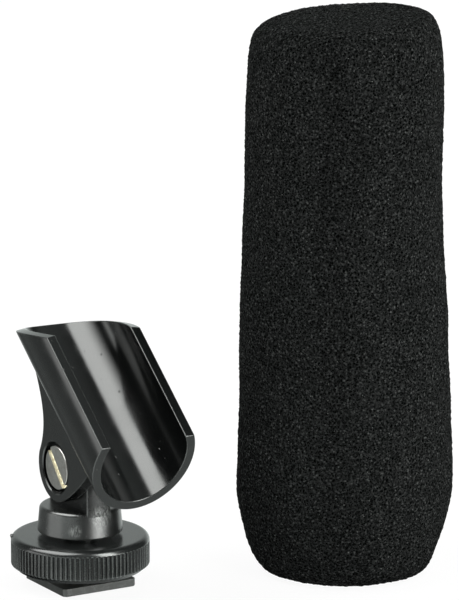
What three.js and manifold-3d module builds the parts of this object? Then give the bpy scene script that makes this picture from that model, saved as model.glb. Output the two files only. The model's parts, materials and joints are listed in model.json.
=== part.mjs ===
// Camera shoe mount with a tilting microphone clip, and the foam windscreen that stands beside it.
// Units are millimetres, +Z is up. The origin is the middle of the shoe foot's underside.
// X runs along the tilt pivot, with the screw head towards -X. The clip's low, front end faces -Y.

import * as THREE from "three";
import { mergeVertices } from "three/addons/utils/BufferGeometryUtils.js";
import Module from "manifold-3d";

const wasm = await Module();
wasm.setup();
const { degToRad, radToDeg, lerp, smoothstep } = THREE.MathUtils;

// Clearance between pieces, and how far a cutting tool runs past what it cuts
const GAP = 0.3;
const OVERRUN = 1;

// Facets round a full turn, and steps along a curve
const ROUND = 72;
const SMALL_ROUND = 36;
const HEXAGON = 6;
const SCREEN_ROUND = 48;
const EDGE_STEPS = 4;
const CURVE_STEPS = 8;

// Shoe foot: the square plate that slides into a camera's accessory shoe
const FOOT_SIDE = 18.5;
const FOOT_THICKNESS = 1.8;
const FOOT_CORNER_BEVEL = 0.7;

// Threaded stud: its lower end is riveted in the foot, its head is moulded into the pivot base
const STUD_RADIUS = 4;
const RIVET_RADIUS = 3;
const RIVET_FLARE = 0.6;
const STUD_HEAD_RADIUS = 5;
const STUD_HEAD_LENGTH = 4.4;

// Thumbwheel: the knurled locking ring on the stud, at rest above the space for the shoe's rails
const RAIL_SPACE = 1.8;
const WHEEL_HEIGHT = 7.75;
const WHEEL_RADIUS = 15.64;
const WHEEL_TOP_RADIUS = 14.3;
const WHEEL_FOOT_RADIUS = 14.3;
const WHEEL_SHOULDER_DROP = 1.3;
const WHEEL_CHAMFER_RISE = 1.05;
const WHEEL_ROOF = 0.75;
const KNURL_COUNT = 90;
const KNURL_DEPTH = 0.5;
const KNURL_BACKING = 0.25;
const KNURL_CREST_SHARE = 0.42;
const KNURL_FLANK_SHARE = 0.16;

// Thread insert: the brass bush moulded into the thumbwheel
const INSERT_WALL = 1.6;

// Pivot base: a tapered collar, with the tilt tongue on top of it
const COLLAR_GAP = 1.01;
const COLLAR_HEIGHT = 5.96;
const COLLAR_BOTTOM_RADIUS = 9.65;
const COLLAR_TOP_RADIUS = 9.18;
const COLLAR_EDGE_ROUND = 0.9;
const TONGUE_THICKNESS = 6;
const PIVOT_ABOVE_COLLAR = 9.12;

// Clip: an open tube on two ears that straddle the tongue
const CLIP_TILT = degToRad(38.65);
const TUBE_RADIUS = 12.69;
const TUBE_WALL = 2.09;
const TUBE_FROM_PIVOT = 24.12;
const LIP_RISE = 5.05;
const FRONT_SPINE_REACH = 21.75;
const FRONT_LIP_REACH = 16.73;
const REAR_SPINE_REACH = 30.67;
const REAR_LIP_REACH = 14.56;
const REAR_BULGE = 0.97;
const REAR_INNER_LEAD = 0.5;
const REAR_SKEW = 0.35;
const EAR_THICKNESS = 3;
const EAR_BOSS_RADIUS = 7.8;
const EAR_BOSS_OPEN_ANGLE = degToRad(20);
const EAR_ROOT_SHARE = 0.9;
const EAR_FRONT_SHARE = 0.51;
const EAR_REAR_SHARE = 0.88;
const EAR_FRONT_PULL_SHARES = [-1.25, 0.33];
const EAR_REAR_PULL_SHARES = [[1.14, 0.76], [1.92, 1.1]];

// Pivot screw, its flat slotted head in a counterbore, and the nut in the far ear's pocket
const SCREW_RADIUS = 2.5;
const SCREW_PAST_NUT = 0.35;
const HEAD_RADIUS = 4.96;
const HEAD_THICKNESS = 1.5;
const HEAD_RECESS = 0.25;
const HEAD_SIDE_CLEARANCE = 0.89;
const SLOT_WIDTH = 1.3;
const SLOT_DEPTH = 0.75;
const SLOT_TURN = degToRad(9.5);
const NUT_ACROSS_FLATS = 8;
const NUT_THICKNESS = 2.7;

// Windscreen: a foam sleeve with a closed, slightly sloping top, standing on its open end
const SCREEN_HEIGHT = 127;
const SCREEN_BASE_RADIUS = 17.4;
const SCREEN_FLARE_RADIUS = 24.45;
const SCREEN_FLARE_LEVEL = 21;
const SCREEN_WAIST_RADIUS = 21.95;
const SCREEN_WAIST_LEVEL = 98;
const SCREEN_SHOULDER_LEVEL = 117;
const SCREEN_TOP_RADIUS = 16.5;
const SCREEN_BORE_RADIUS = 9.5;
const SCREEN_BORE_DEPTH = 108;
const SCREEN_TOP_TILT = degToRad(3.3);
const SCREEN_HIGH_SIDE = degToRad(-30.5);
const SCREEN_ASIDE = 58.65;
const SCREEN_FORWARD = 18.15;
const BASE_PULL_SHARES = [0.46, 0.5];
const FLARE_PULL_SHARES = [0.33, 0.74];
const EDGE_PULL_SHARES = [0.6, 0.6];

// Levels and places that follow from the sizes above
const WHEEL_BOTTOM = FOOT_THICKNESS + RAIL_SPACE;
const WHEEL_TOP = WHEEL_BOTTOM + WHEEL_HEIGHT;
const KNURL_BOTTOM = WHEEL_BOTTOM + WHEEL_CHAMFER_RISE;
const KNURL_TOP = WHEEL_TOP - WHEEL_SHOULDER_DROP;
const KNURL_ROOT_RADIUS = WHEEL_RADIUS - KNURL_DEPTH;
const STUD_BORE_RADIUS = STUD_RADIUS + GAP;
const COLLAR_BOTTOM = WHEEL_TOP + COLLAR_GAP;
const COLLAR_TOP = COLLAR_BOTTOM + COLLAR_HEIGHT;
const STUD_TOP = COLLAR_BOTTOM + STUD_HEAD_LENGTH;
const PIVOT_LEVEL = COLLAR_TOP + PIVOT_ABOVE_COLLAR;
const PIVOT_BORE_RADIUS = SCREW_RADIUS + GAP;
const TONGUE_FACE = TONGUE_THICKNESS / 2;
const EAR_INNER_FACE = TONGUE_FACE + GAP;
const EAR_FACE = EAR_INNER_FACE + EAR_THICKNESS;
const HEAD_FACE = EAR_FACE - HEAD_RECESS;
const RECESS_FLOOR = HEAD_FACE - HEAD_THICKNESS - GAP;
const NUT_START = RECESS_FLOOR + GAP;
const NUT_END = NUT_START + NUT_THICKNESS;
const NUT_CORNER_RADIUS = NUT_ACROSS_FLATS / Math.sqrt(3);

const glossPlastic = new THREE.MeshStandardMaterial({ color: 0x17191a, roughness: 0.28 });
const satinPlastic = new THREE.MeshStandardMaterial({ color: 0x1b1d1d, roughness: 0.42 });
const nickel = new THREE.MeshStandardMaterial({ color: 0x8c8d8b, roughness: 0.35, metalness: 1 });
const steel = new THREE.MeshStandardMaterial({ color: 0x77797a, roughness: 0.4, metalness: 1 });
const brass = new THREE.MeshStandardMaterial({ color: 0xb89a55, roughness: 0.35, metalness: 1 });
const foam = new THREE.MeshStandardMaterial({ color: 0x19191b, roughness: 1 });

/** A closed three.js geometry as a solid that can be cut and joined. */
function solid(geometry) {
  geometry.deleteAttribute("normal");
  geometry.deleteAttribute("uv");
  const merged = mergeVertices(geometry);
  const vertProperties = new Float32Array(merged.attributes.position.array);
  const triVerts = new Uint32Array(merged.index.array);
  return new wasm.Manifold(new wasm.Mesh({ numProp: 3, vertProperties, triVerts }));
}

/** A solid as a named mesh. */
function piece(name, body, material) {
  const { vertProperties, triVerts } = body.getMesh();
  const geometry = new THREE.BufferGeometry();
  geometry.setAttribute("position", new THREE.BufferAttribute(vertProperties, 3));
  geometry.setIndex(new THREE.BufferAttribute(triVerts, 1));
  geometry.computeVertexNormals();
  const mesh = new THREE.Mesh(geometry, material);
  mesh.name = name;
  return mesh;
}

/** A shape turned about Z from [radius, height] corners, which run anticlockwise round its material. */
function lathe(profile, facets) {
  const corners = profile.map(([radius, height]) => new THREE.Vector2(radius, height));
  return new THREE.LatheGeometry(corners, facets).rotateX(Math.PI / 2);
}

/** The same, as a solid. */
function turned(profile, facets = ROUND) {
  return solid(lathe(profile, facets));
}

/** A cylinder along Z between two heights. */
function rod(radius, low, high, facets = SMALL_ROUND) {
  return turned([[0, low], [radius, low], [radius, high], [0, high]], facets);
}

/** A cylinder along X between two places. */
function pin(radius, low, high, facets = SMALL_ROUND) {
  return rod(radius, low, high, facets).rotate([0, 90, 0]);
}

/** A box between two corners. */
function block(low, high) {
  const size = high.map((value, axis) => value - low[axis]);
  const middle = high.map((value, axis) => (value + low[axis]) / 2);
  return solid(new THREE.BoxGeometry(...size).translate(...middle));
}

/** An outline in X and Y, raised from one height to another. */
function raised(outline, low, high, curveSegments = CURVE_STEPS) {
  const settings = { depth: high - low, bevelEnabled: false, curveSegments };
  return solid(new THREE.ExtrudeGeometry(outline, settings).translate(0, 0, low));
}

/** A side outline in Y and Z, made a slab between two places along X. */
function slab(outline, low, high, curveSegments = CURVE_STEPS) {
  return raised(outline, low, high, curveSegments).rotate([90, 0, 90]);
}

/** The [x, y] points along a cubic curve between its corners, without the first one. */
function sweep(corners, steps = EDGE_STEPS) {
  const curve = new THREE.CubicBezierCurve(...corners.map((corner) => new THREE.Vector2(...corner)));
  return curve.getPoints(steps).slice(1).map(({ x, y }) => [x, y]);
}

/** A square plate with bevelled upright corners and a countersunk hole for the stud's rivet. */
function makeFoot() {
  const half = FOOT_SIDE / 2;
  const flat = half - FOOT_CORNER_BEVEL;
  const corners = [[half, -flat], [half, flat], [flat, half], [-flat, half]];
  const outline = [...corners, ...corners.map(([x, y]) => [-x, -y])];
  const plate = new THREE.Shape(outline.map(([x, y]) => new THREE.Vector2(x, y)));
  const rivetHole = RIVET_RADIUS + GAP;
  const countersink = turned([
    [0, 0],
    [rivetHole + RIVET_FLARE, 0],
    [rivetHole, RIVET_FLARE],
    [rivetHole, FOOT_THICKNESS],
    [0, FOOT_THICKNESS],
  ], SMALL_ROUND);
  return raised(plate, 0, FOOT_THICKNESS).subtract(countersink);
}

function makeStud() {
  const shoulder = FOOT_THICKNESS + GAP;
  return turned([
    [0, 0],
    [RIVET_RADIUS + RIVET_FLARE, 0],
    [RIVET_RADIUS, RIVET_FLARE],
    [RIVET_RADIUS, shoulder],
    [STUD_RADIUS, shoulder],
    [STUD_RADIUS, COLLAR_BOTTOM],
    [STUD_HEAD_RADIUS, COLLAR_BOTTOM],
    [STUD_HEAD_RADIUS, STUD_TOP],
    [0, STUD_TOP],
  ], SMALL_ROUND);
}

/** A ring whose outside is a regular row of flat-topped ridges. */
function makeKnurls() {
  const corners = [
    [0, WHEEL_RADIUS],
    [KNURL_CREST_SHARE, WHEEL_RADIUS],
    [KNURL_CREST_SHARE + KNURL_FLANK_SHARE, KNURL_ROOT_RADIUS],
    [1 - KNURL_FLANK_SHARE, KNURL_ROOT_RADIUS],
  ];
  const outline = [];
  for (let ridge = 0; ridge < KNURL_COUNT; ridge += 1) {
    for (const [share, radius] of corners) {
      const angle = ((ridge + share) / KNURL_COUNT) * 2 * Math.PI;
      outline.push(new THREE.Vector2(Math.cos(angle), Math.sin(angle)).multiplyScalar(radius));
    }
  }
  const ring = new THREE.Shape(outline);
  ring.holes.push(new THREE.Path().absarc(0, 0, KNURL_ROOT_RADIUS - OVERRUN, 0, 2 * Math.PI, true));
  return raised(ring, KNURL_BOTTOM, KNURL_TOP, KNURL_COUNT);
}

function makeThumbwheel() {
  const core = KNURL_ROOT_RADIUS - KNURL_BACKING;
  const socket = STUD_BORE_RADIUS + INSERT_WALL + GAP;
  const shoulder = sweep([
    [WHEEL_RADIUS, KNURL_TOP],
    [WHEEL_RADIUS, (KNURL_TOP + WHEEL_TOP) / 2],
    [(WHEEL_RADIUS + WHEEL_TOP_RADIUS) / 2, WHEEL_TOP],
    [WHEEL_TOP_RADIUS, WHEEL_TOP],
  ]);
  const wheel = turned([
    [socket, WHEEL_BOTTOM],
    [WHEEL_FOOT_RADIUS, WHEEL_BOTTOM],
    [core, KNURL_BOTTOM],
    [core, KNURL_TOP],
    [WHEEL_RADIUS, KNURL_TOP],
    ...shoulder,
    [STUD_BORE_RADIUS, WHEEL_TOP],
    [STUD_BORE_RADIUS, WHEEL_TOP - WHEEL_ROOF],
    [socket, WHEEL_TOP - WHEEL_ROOF],
    [socket, WHEEL_BOTTOM],
  ], KNURL_COUNT);
  return wheel.add(makeKnurls());
}

function makeInsert() {
  const outside = STUD_BORE_RADIUS + INSERT_WALL;
  const top = WHEEL_TOP - WHEEL_ROOF - GAP;
  return turned([
    [STUD_BORE_RADIUS, WHEEL_BOTTOM],
    [outside, WHEEL_BOTTOM],
    [outside, top],
    [STUD_BORE_RADIUS, top],
    [STUD_BORE_RADIUS, WHEEL_BOTTOM],
  ], SMALL_ROUND);
}

function makePivotBase() {
  const edge = COLLAR_TOP - COLLAR_EDGE_ROUND;
  const collar = turned([
    [0, COLLAR_BOTTOM],
    [COLLAR_BOTTOM_RADIUS, COLLAR_BOTTOM],
    [COLLAR_TOP_RADIUS, edge],
    ...sweep([
      [COLLAR_TOP_RADIUS, edge],
      [COLLAR_TOP_RADIUS, COLLAR_TOP - COLLAR_EDGE_ROUND / 2],
      [COLLAR_TOP_RADIUS - COLLAR_EDGE_ROUND / 2, COLLAR_TOP],
      [COLLAR_TOP_RADIUS - COLLAR_EDGE_ROUND, COLLAR_TOP],
    ]),
    [0, COLLAR_TOP],
  ]);
  const side = new THREE.Shape();
  side.moveTo(-COLLAR_TOP_RADIUS, edge - PIVOT_LEVEL);
  side.lineTo(COLLAR_TOP_RADIUS, edge - PIVOT_LEVEL);
  side.absarc(0, 0, COLLAR_TOP_RADIUS, 0, Math.PI, false);
  const tongue = slab(side, -TONGUE_FACE, TONGUE_FACE, 2 * CURVE_STEPS)
    .translate([0, 0, PIVOT_LEVEL])
    .intersect(rod(COLLAR_TOP_RADIUS, COLLAR_BOTTOM, PIVOT_LEVEL + COLLAR_TOP_RADIUS + OVERRUN, ROUND));
  const bore = pin(PIVOT_BORE_RADIUS, -TONGUE_FACE - OVERRUN, TONGUE_FACE + OVERRUN);
  const socket = rod(STUD_HEAD_RADIUS + GAP, COLLAR_BOTTOM - OVERRUN, STUD_TOP + GAP);
  return collar.add(tongue).subtract(bore.translate([0, 0, PIVOT_LEVEL])).subtract(socket);
}

/** How far the clip's tube reaches at its rear, an arched cut from the spine to the lips. */
function rearReach(x, climb, share) {
  const slope = lerp(REAR_SPINE_REACH, REAR_LIP_REACH, climb);
  const arch = REAR_BULGE * 4 * climb * (1 - climb);
  return slope + arch + REAR_INNER_LEAD * share - (REAR_SKEW * x) / TUBE_RADIUS;
}

/** The clip's tube: a C section along Y, whose ends slope from the spine to the lips. */
function makeTube() {
  const inner = TUBE_RADIUS - TUBE_WALL;
  const outerLip = Math.asin(LIP_RISE / TUBE_RADIUS);
  const innerLip = Math.asin(LIP_RISE / inner);
  const section = new THREE.Shape();
  section.absarc(0, 0, TUBE_RADIUS, Math.PI - outerLip, outerLip, false);
  section.absarc(0, 0, inner, innerLip, Math.PI - innerLip, true);
  const settings = { depth: 1, bevelEnabled: false, curveSegments: SMALL_ROUND };
  const tube = new THREE.ExtrudeGeometry(section, settings).rotateX(Math.PI / 2);
  const corners = tube.attributes.position;
  for (let i = 0; i < corners.count; i += 1) {
    const [x, z] = [corners.getX(i), corners.getZ(i)];
    const climb = (z + TUBE_RADIUS) / (LIP_RISE + TUBE_RADIUS);
    const share = (TUBE_RADIUS - Math.hypot(x, z)) / TUBE_WALL;
    const front = -lerp(FRONT_SPINE_REACH, FRONT_LIP_REACH, climb);
    corners.setY(i, corners.getY(i) < -1 / 2 ? front : rearReach(x, climb, share));
  }
  return solid(tube.translate(0, 0, TUBE_FROM_PIVOT));
}

/** One ear's side outline: a round boss at the pivot that flares out to the tube on both sides. */
function earOutline() {
  const boss = EAR_BOSS_RADIUS;
  const root = TUBE_FROM_PIVOT - TUBE_RADIUS + TUBE_WALL * EAR_ROOT_SHARE;
  const side = boss * Math.cos(EAR_BOSS_OPEN_ANGLE);
  const drop = boss * Math.sin(EAR_BOSS_OPEN_ANGLE);
  const rearPulls = EAR_REAR_PULL_SHARES.flat().map((share) => boss * share);
  const frontPull = EAR_FRONT_PULL_SHARES.map((share) => boss * share);
  const outline = new THREE.Shape();
  outline.moveTo(-side, -drop);
  outline.absarc(0, 0, boss, Math.PI + EAR_BOSS_OPEN_ANGLE, 2 * Math.PI - EAR_BOSS_OPEN_ANGLE, false);
  outline.bezierCurveTo(...rearPulls, REAR_SPINE_REACH * EAR_REAR_SHARE, root);
  outline.lineTo(-FRONT_SPINE_REACH * EAR_FRONT_SHARE, root);
  outline.quadraticCurveTo(...frontPull, -side, -drop);
  return outline;
}

/** The clip in its own frame, with the pivot at the origin and the tube along Y. */
function makeClip() {
  const slot = block(
    [-EAR_INNER_FACE, -REAR_SPINE_REACH, -EAR_BOSS_RADIUS - OVERRUN],
    [EAR_INNER_FACE, REAR_SPINE_REACH, COLLAR_TOP_RADIUS + GAP],
  );
  const ears = slab(earOutline(), -EAR_FACE, EAR_FACE).subtract(slot);
  const bore = pin(PIVOT_BORE_RADIUS, -EAR_FACE - OVERRUN, EAR_FACE + OVERRUN);
  const counterbore = pin(HEAD_RADIUS + HEAD_SIDE_CLEARANCE, -EAR_FACE - OVERRUN, -RECESS_FLOOR, ROUND);
  const pocket = pin(NUT_CORNER_RADIUS + GAP, RECESS_FLOOR, EAR_FACE + OVERRUN, HEXAGON);
  return makeTube().add(ears).subtract(bore).subtract(counterbore).subtract(pocket);
}

function makePivotScrew() {
  const head = pin(HEAD_RADIUS, -HEAD_FACE, HEAD_THICKNESS - HEAD_FACE, ROUND);
  const shank = pin(SCREW_RADIUS, HEAD_THICKNESS / 2 - HEAD_FACE, NUT_END + SCREW_PAST_NUT);
  const slot = block(
    [-HEAD_FACE - OVERRUN, -HEAD_RADIUS - OVERRUN, -SLOT_WIDTH / 2],
    [SLOT_DEPTH - HEAD_FACE, HEAD_RADIUS + OVERRUN, SLOT_WIDTH / 2],
  );
  return head.add(shank).subtract(slot.rotate([radToDeg(SLOT_TURN), 0, 0]));
}

function makePivotNut() {
  const body = pin(NUT_CORNER_RADIUS, NUT_START, NUT_END, HEXAGON);
  return body.subtract(pin(PIVOT_BORE_RADIUS, NUT_START - OVERRUN, NUT_END + OVERRUN));
}

/** The foam sleeve's outline in radius and height, from its bore's roof down and round to its top. */
function screenProfile() {
  const base = [SCREEN_BASE_RADIUS, 0];
  const widest = [SCREEN_FLARE_RADIUS, SCREEN_FLARE_LEVEL];
  const narrowest = [SCREEN_WAIST_RADIUS, SCREEN_WAIST_LEVEL];
  const shoulder = [SCREEN_WAIST_RADIUS, SCREEN_SHOULDER_LEVEL];
  const top = [SCREEN_TOP_RADIUS, SCREEN_HEIGHT];
  const rise = (from, to, share) => [from[0], lerp(from[1], to[1], share)];
  const reach = (from, to, share) => [lerp(from[0], to[0], share), from[1]];
  return [
    [0, SCREEN_BORE_DEPTH],
    [SCREEN_BORE_RADIUS, SCREEN_BORE_DEPTH],
    [SCREEN_BORE_RADIUS, 0],
    base,
    ...sweep([
      base,
      reach(base, widest, BASE_PULL_SHARES[0]),
      rise(widest, base, BASE_PULL_SHARES[1]),
      widest,
    ]),
    ...sweep([
      widest,
      rise(widest, narrowest, FLARE_PULL_SHARES[0]),
      rise(narrowest, widest, 1 - FLARE_PULL_SHARES[1]),
      narrowest,
    ], CURVE_STEPS),
    shoulder,
    ...sweep([
      shoulder,
      rise(shoulder, top, EDGE_PULL_SHARES[0]),
      reach(top, shoulder, EDGE_PULL_SHARES[1]),
      top,
    ]),
    [0, SCREEN_HEIGHT],
  ];
}

/** The foam sleeve, with everything above its bore leaning up towards the high side. */
function makeWindscreen() {
  const sleeve = lathe(screenProfile(), SCREEN_ROUND);
  const corners = sleeve.attributes.position;
  for (let i = 0; i < corners.count; i += 1) {
    const share = smoothstep(corners.getZ(i), SCREEN_BORE_DEPTH, SCREEN_HEIGHT);
    const along = corners.getX(i) * Math.cos(SCREEN_HIGH_SIDE) + corners.getY(i) * Math.sin(SCREEN_HIGH_SIDE);
    corners.setZ(i, corners.getZ(i) + along * Math.tan(SCREEN_TOP_TILT) * share);
  }
  return solid(sleeve);
}

const mount = new THREE.Group();
mount.add(piece("shoe_foot", makeFoot(), satinPlastic));
mount.add(piece("threaded_stud", makeStud(), steel));
mount.add(piece("thumbwheel", makeThumbwheel(), glossPlastic));
mount.add(piece("thumbwheel_insert", makeInsert(), brass));
mount.add(piece("pivot_base", makePivotBase(), satinPlastic));

const tilting = new THREE.Group();
tilting.position.z = PIVOT_LEVEL;
tilting.rotation.x = CLIP_TILT;
tilting.add(piece("clip", makeClip(), glossPlastic));
tilting.add(piece("pivot_screw", makePivotScrew(), nickel));
tilting.add(piece("pivot_nut", makePivotNut(), steel));

const windscreen = piece("windscreen", makeWindscreen(), foam);
windscreen.position.set(SCREEN_ASIDE, -SCREEN_FORWARD, 0);

const wholeSet = new THREE.Group();
wholeSet.add(mount, tilting, windscreen);

export default wholeSet;
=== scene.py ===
"""Camera shoe mount with a tilting microphone clip, and the foam windscreen that stands beside it.

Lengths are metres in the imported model's frame. Z is up, X runs along the tilt pivot with the screw head
towards -X, and the low front end of the clip faces -Y.
"""

import json
import logging
import math
from collections.abc import Callable, Sequence
from dataclasses import dataclass
from enum import Enum

import bmesh
import bpy
import numpy as np
from mathutils import Matrix, Vector, noise


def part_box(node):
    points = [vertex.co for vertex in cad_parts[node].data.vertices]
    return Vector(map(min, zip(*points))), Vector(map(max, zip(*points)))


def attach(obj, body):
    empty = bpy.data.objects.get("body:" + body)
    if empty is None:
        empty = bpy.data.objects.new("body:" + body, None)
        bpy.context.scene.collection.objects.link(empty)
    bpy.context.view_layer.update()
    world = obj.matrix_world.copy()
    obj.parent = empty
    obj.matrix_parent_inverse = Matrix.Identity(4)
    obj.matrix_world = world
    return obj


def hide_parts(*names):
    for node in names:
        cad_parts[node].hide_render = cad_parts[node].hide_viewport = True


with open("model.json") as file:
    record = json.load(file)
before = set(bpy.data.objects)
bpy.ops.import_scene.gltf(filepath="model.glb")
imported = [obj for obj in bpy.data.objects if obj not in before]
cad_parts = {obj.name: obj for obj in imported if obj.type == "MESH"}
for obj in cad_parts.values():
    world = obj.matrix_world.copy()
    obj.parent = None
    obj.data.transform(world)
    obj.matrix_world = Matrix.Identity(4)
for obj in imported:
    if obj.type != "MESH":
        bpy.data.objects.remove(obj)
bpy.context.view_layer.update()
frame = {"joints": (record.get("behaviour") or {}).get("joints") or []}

LOG = logging.getLogger("microphone_mount")

MM = 1e-3
MICRON = 1e-6
OVERRUN = 1 * MM
CLEARANCE = 0.3 * MM

# The facets round hidden bores, middling rounds and seen rounds, and the steps of a plate's rounded rim
COARSE, MIDDLING, FINE = 64, 96, 128
RIM_STEPS = 4

Point = tuple[float, float]
Triple = tuple[float, float, float]
Colour = Triple
Socket = bpy.types.NodeSocket
Value = Socket | float | Sequence[float]
Piece = bpy.types.Object


class Join(Enum):
    """How a tool changes the blank it is put to."""

    ADD = "UNION"
    CUT = "DIFFERENCE"
    KEEP = "INTERSECT"


class Slot(Enum):
    """The record's material slots."""

    SATIN = "satin_plastic"
    GLOSS = "gloss_plastic"
    NICKEL = "nickel"
    STEEL = "steel"
    BRASS = "brass"
    FOAM = "foam"


def joint_place(name: str) -> Vector:
    """The point that the joint of this name turns about."""
    return next(Vector(joint["pos_m"]) for joint in frame["joints"] if joint["name"] == name)


def arc(centre: Point, radius: float, start: float, end: float, steps: int) -> list[Point]:
    """Points along an arc, with both ends, from one angle in radians to another."""
    angles = np.linspace(start, end, steps + 1)
    return [(centre[0] + radius * math.cos(a), centre[1] + radius * math.sin(a)) for a in angles]


def polygon(radius: float, sides: int) -> list[Point]:
    """The corners of a regular polygon about the origin. With many sides it is a round."""
    return arc((0, 0), radius, 0, math.tau, sides)[:-1]


def chamfered(radius: float, low: float, high: float, rise: float, draw: float) -> list[Point]:
    """The profile of a disc from low to high, whose chamfers rise up its side and draw in its faces."""
    return [(radius - draw, low), (radius, low + rise), (radius, high - rise), (radius - draw, high)]


def level_ring(reach: float | np.ndarray, angles: np.ndarray, level: float) -> np.ndarray:
    """A level ring of points, a row each, at a reach from Z that may differ from one to the next."""
    return np.stack([reach * np.cos(angles), reach * np.sin(angles), np.full(len(angles), level)], axis=1)


def axis_point(level: float) -> np.ndarray:
    """A ring that is only a point on Z."""
    return np.array([[0.0, 0.0, level]])


def sweep(corners: Sequence[Point], steps: int) -> list[Point]:
    """Points along a quadratic or cubic curve, without its first one.

    Args:
        corners: The curve's three or four corners.
        steps: How many steps the curve is cut in.

    Returns:
        The points in order.
    """
    degree = len(corners) - 1
    share = np.linspace(0, 1, steps + 1)[1:, None]
    points = sum(
        math.comb(degree, i) * share**i * (1 - share) ** (degree - i) * np.array(corner)
        for i, corner in enumerate(corners)
    )
    return [(float(x), float(y)) for x, y in points]


def eased(corners: Sequence[Triple], steps: int) -> list[Point]:
    """A closed outline whose corners are rounded.

    Args:
        corners: Each corner's x and y, and the radius that it is rounded to.
        steps: How many steps each round is cut in.

    Returns:
        The outline's points in order.
    """
    outline: list[Point] = []
    for i, (x, y, radius) in enumerate(corners):
        corner = Vector((x, y))
        before = (Vector(corners[i - 1][:2]) - corner).normalized()
        after = (Vector(corners[(i + 1) % len(corners)][:2]) - corner).normalized()
        if not radius:
            outline.append((x, y))
            continue
        half = before.angle(after) / 2
        middle = corner + (before + after).normalized() * (radius / math.sin(half))
        first = corner + before * (radius / math.tan(half)) - middle
        last = corner + after * (radius / math.tan(half)) - middle
        start = math.atan2(first.y, first.x)
        turn = (math.atan2(last.y, last.x) - start + math.pi) % math.tau - math.pi
        outline += arc((middle.x, middle.y), radius, start, start + turn, steps)
    return outline


def inset(outline: np.ndarray, distance: float) -> np.ndarray:
    """An anticlockwise outline moved inwards.

    Args:
        outline: The outline's points, a row each.
        distance: How far it moves in.

    Returns:
        The moved points.
    """
    step = np.roll(outline, -1, axis=0) - outline
    step /= np.linalg.norm(step, axis=1, keepdims=True)
    inward = np.stack([-step[:, 1], step[:, 0]], axis=1)
    both = inward + np.roll(inward, 1, axis=0)
    both /= (1 + np.sum(inward * np.roll(inward, 1, axis=0), axis=1))[:, None]
    return outline + both * distance


class Skin:
    """The corners and faces of a closed surface, added ring by ring."""

    def __init__(self) -> None:
        """Starts with no corners."""
        self.corners: list[np.ndarray] = []
        self.faces: list[tuple[int, ...]] = []
        self.count = 0

    def ring(self, points: np.ndarray) -> range:
        """Adds points, a row each, and returns their numbers."""
        self.corners.append(points)
        self.count += len(points)
        return range(self.count - len(points), self.count)

    def loft(self, rings: Sequence[np.ndarray], around: bool = False) -> list[range]:
        """Joins rings of like length, or single points, in their order.

        Args:
            rings: The rings' points, a row each.
            around: Whether the last ring meets the first again.

        Returns:
            The numbers of each ring's points.
        """
        numbers = [self.ring(points) for points in rings]
        pairs = list(zip(numbers, numbers[1:]))
        if around:
            pairs.append((numbers[-1], numbers[0]))
        for low, high in pairs:
            for i in range(max(len(low), len(high))):
                after = (i + 1) % max(len(low), len(high))
                if len(low) == 1:
                    self.faces.append((low[0], high[after], high[i]))
                elif len(high) == 1:
                    self.faces.append((low[i], low[after], high[0]))
                else:
                    self.faces.append((low[i], low[after], high[after], high[i]))
        return numbers

    def lid(self, numbers: Sequence[int]) -> None:
        """Closes a flat ring with one face."""
        self.faces.append(tuple(numbers))

    def made(self, name: str, matrix: Matrix | None = None) -> Piece:
        """The surface as an object.

        Args:
            name: The piece's name.
            matrix: What turns and moves the mesh itself, if anything does.

        Returns:
            The object, whose faces point outwards.
        """
        mesh = bpy.data.meshes.new(name)
        mesh.from_pydata(np.concatenate(self.corners).tolist(), [], self.faces)
        if matrix is not None:
            mesh.transform(matrix)
        shell = bmesh.new()
        shell.from_mesh(mesh)
        bmesh.ops.remove_doubles(shell, verts=shell.verts, dist=2 * MICRON)
        bmesh.ops.recalc_face_normals(shell, faces=shell.faces)
        shell.to_mesh(mesh)
        shell.free()
        made = bpy.data.objects.new(name, mesh)
        bpy.context.scene.collection.objects.link(made)
        return made


ALONG_X = Matrix.Rotation(math.pi / 2, 4, "Y")
SIDEWAYS = Matrix(((0, 0, 1, 0), (1, 0, 0, 0), (0, 1, 0, 0), (0, 0, 0, 1)))


def turned(
    name: str, profile: Sequence[Point], columns: int, matrix: Matrix | None = None, hollow: bool = False
) -> Piece:
    """A profile turned about Z.

    Args:
        name: The piece's name.
        profile: Radius and height of each corner, anticlockwise.
        columns: How many facets go round.
        matrix: What turns and moves the mesh afterwards.
        hollow: Whether the profile closes on itself. Both its ends close on the axis where it doesn't.

    Returns:
        The turned object.
    """
    angles = np.linspace(0, math.tau, columns, endpoint=False)
    rings = [level_ring(radius, angles, level) for radius, level in profile]
    if not hollow:
        rings = [axis_point(profile[0][1]), *rings, axis_point(profile[-1][1])]
    skin = Skin()
    skin.loft(rings, around=hollow)
    return skin.made(name, matrix)


def plate(
    name: str,
    outline: Sequence[Point],
    low: float,
    high: float,
    edge: float = 0.0,
    matrix: Matrix | None = None,
) -> Piece:
    """An outline raised along Z, with rounded rims.

    Args:
        name: The piece's name.
        outline: The outline's points, anticlockwise.
        low: The lower face's height.
        high: The upper face's height.
        edge: The radius of both rims.
        matrix: What turns and moves the mesh afterwards.

    Returns:
        The raised object.
    """
    flat = np.array(outline)
    turns = np.linspace(0, math.pi / 2, RIM_STEPS + 1) if edge else np.array([math.pi / 2])
    levels = [(edge * (1 - math.sin(a)), edge * (1 - math.cos(a))) for a in turns]
    rings = []
    for level, sign, order in ((low, 1, levels), (high, -1, levels[::-1])):
        for drawn_in, rise in order:
            face = inset(flat, drawn_in) if drawn_in else flat
            rings.append(np.column_stack([face, np.full(len(face), level + sign * rise)]))
    skin = Skin()
    numbers = skin.loft(rings)
    skin.lid(numbers[0][::-1])
    skin.lid(numbers[-1])
    return skin.made(name, matrix)


def box_outline(left: float, right: float, low: float, high: float) -> list[Point]:
    """The anticlockwise corners of a rectangle."""
    return [(left, low), (right, low), (right, high), (left, high)]


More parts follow.
